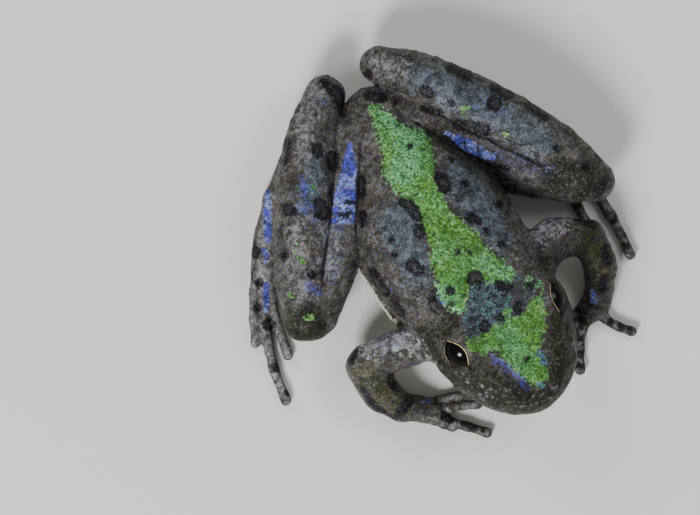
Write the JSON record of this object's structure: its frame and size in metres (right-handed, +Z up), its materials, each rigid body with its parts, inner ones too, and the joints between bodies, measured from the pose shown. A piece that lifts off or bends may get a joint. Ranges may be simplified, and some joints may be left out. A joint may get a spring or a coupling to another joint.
{
  "type": "cricket frog",
  "caption": "Life-size still model of a small cricket frog at rest on its belly, legs folded: dark warty skin, a green band along the back and a dark triangle between the eyes.",
  "frame": {"origin": "on the floor, under the middle of the whole frog's box in plan", "axes": "+Z up from the floor, the head faces -Y and the frog's own left side is towards +X"},
  "size_m": [0.029, 0.0288, 0.0093],
  "materials": {
    "skin_back": "moist granular skin, dark grey-brown with a yellow-green band",
    "skin_face": "moist granular skin, dark grey-brown with a green mark on the snout",
    "skin_limb": "moist skin, grey-brown with dark bars and violet-blue hidden surfaces",
    "skin_digit": "moist skin, banded dark and pale",
    "eye": "wet, black with a thin gold rim"
  },
  "bodies": {
    "root": {"head": "skin_face", "torso": "skin_back", "eye_left": "eye", "eye_right": "eye", "upper_arm_left": "skin_limb", "upper_arm_right": "skin_limb", "forearm_left": "skin_limb", "forearm_right": "skin_limb", "hand_left": "skin_digit", "hand_right": "skin_digit", "thigh_left": "skin_limb", "thigh_right": "skin_limb", "shank_left": "skin_limb", "shank_right": "skin_limb", "tarsus_left": "skin_limb", "tarsus_right": "skin_limb", "foot_left": "skin_digit", "foot_right": "skin_digit"}
  },
  "joints": []
}
